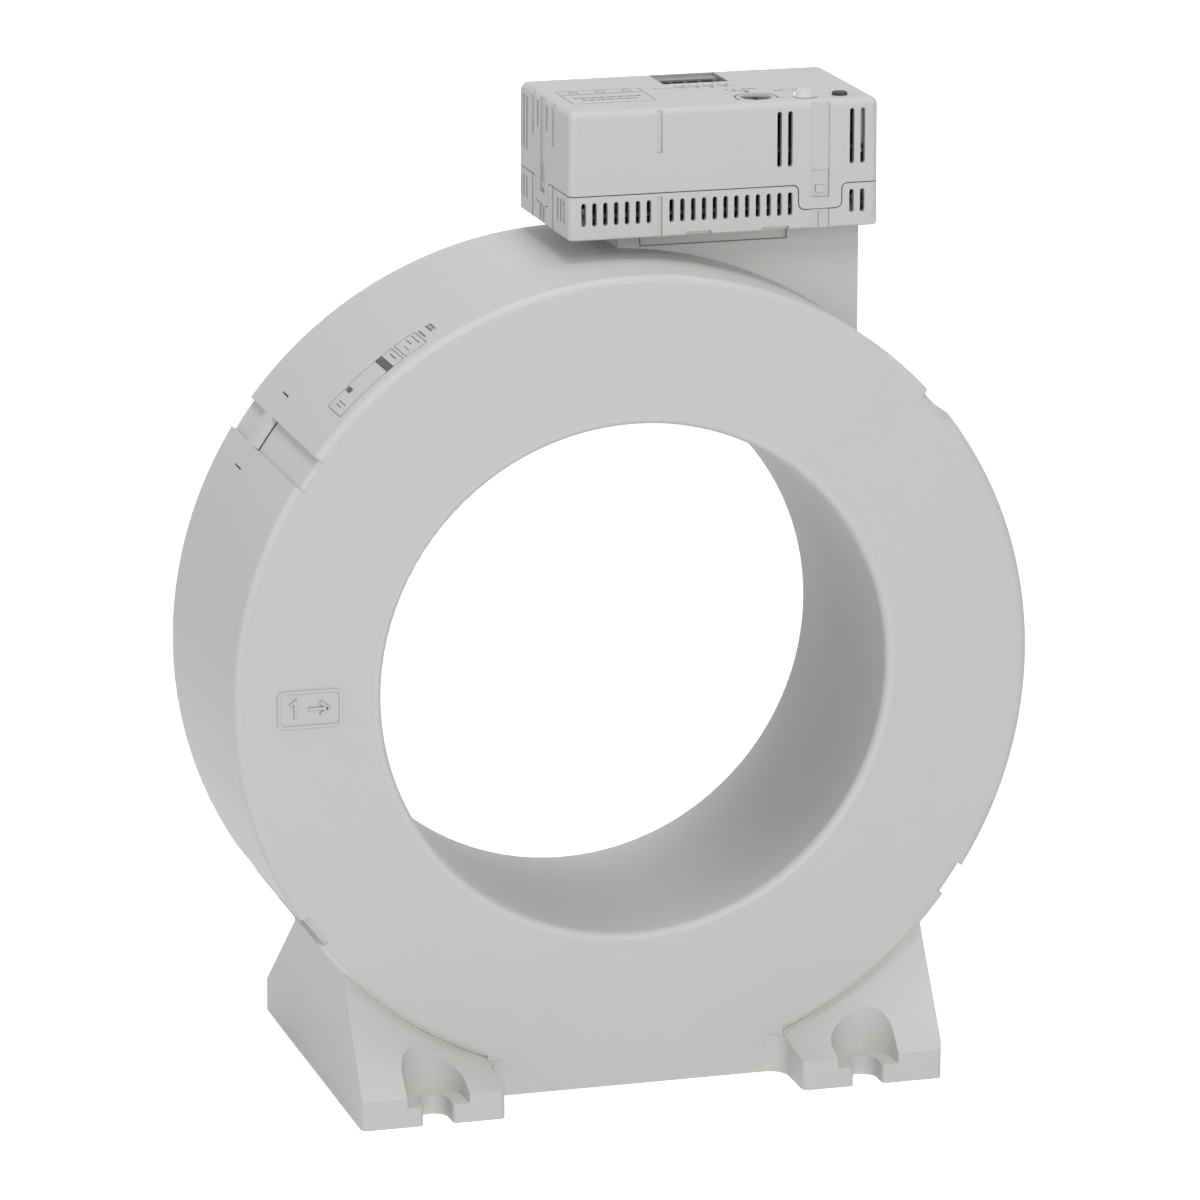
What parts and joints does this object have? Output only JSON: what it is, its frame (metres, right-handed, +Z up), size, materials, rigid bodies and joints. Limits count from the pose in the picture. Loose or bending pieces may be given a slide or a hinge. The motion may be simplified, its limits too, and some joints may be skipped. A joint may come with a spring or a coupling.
{
  "type": "earth leakage toroid",
  "caption": "Closed ring sensor on bolt-down feet, with a plug-in electronics box on top; it senses earth leakage current in the cables led through its round window.",
  "frame": {"origin": "middle of the round window, on its axis, halfway through the ring's depth", "axes": "+Y along the window's axis to the rear, so the front face looks along -Y; +X to the right seen from the front; +Z up from the feet to the electronics box"},
  "size_m": [0.33, 0.1645, 0.3974],
  "materials": {
    "housing": "light grey, fine spark-eroded grain",
    "core_metal": "wound strip, satin",
    "screen_metal": "annealed strip, satin",
    "case_plastic": "black, matt",
    "winding_wire": "enamelled copper wire",
    "cushion_foam": "dark grey foam",
    "lead_sleeve": "natural sleeve",
    "black_plastic": "black, matt",
    "contact_metal": "tinned brass",
    "board_laminate": "green solder resist",
    "screw_steel": "zinc plated",
    "coil_former": "yellow tape",
    "capacitor_sleeve": "dark shrink sleeve",
    "rotor_plastic": "dark, matt",
    "lens_plastic": "milky, translucent",
    "lamp_resin": "clear resin",
    "button_plastic": "dark grey, satin"
  },
  "bodies": {
    "housing": {"front_shell": "housing", "rear_shell": "housing", "wound_core": "core_metal", "core_case": "case_plastic", "core_case_lid": "case_plastic", "sense_windings": "winding_wire", "winding_leads": "lead_sleeve", "outer_screen": "screen_metal", "inner_screen": "screen_metal", "core_cushions": "cushion_foam", "dock_bar": "housing", "dock_socket": "black_plastic", "dock_pins": "contact_metal", "dock_plug": "black_plastic", "module_base": "housing", "module_cover": "housing", "lower_board": "board_laminate", "upper_board": "board_laminate", "board_link": "black_plastic", "board_screws": "screw_steel", "terminal_block": "black_plastic", "terminal_pins": "contact_metal", "supply_transformer": "coil_former", "capacitors": "capacitor_sleeve", "chips": "black_plastic", "selector_body": "black_plastic", "lamp_lens": "lens_plastic", "lamp": "lamp_resin", "lamp_spacer": "black_plastic", "test_switch": "black_plastic"},
    "selector": {"selector_rotor": "rotor_plastic"},
    "test": {"test_button": "button_plastic", "switch_plunger": "button_plastic"}
  },
  "joints": [
    {"name": "selector_turn", "type": "hinge", "parent": "housing", "child": "selector", "pos_m": [0.0631, -0.0088, 0.2204], "axis": [0, 0, 1], "range_deg": [-150, 150]},
    {"name": "test_press", "type": "slide", "parent": "housing", "child": "test", "axis": [0, 0, -1], "range_m": [0, 0.0008], "stiffness_N_per_m": 300}
  ]
}
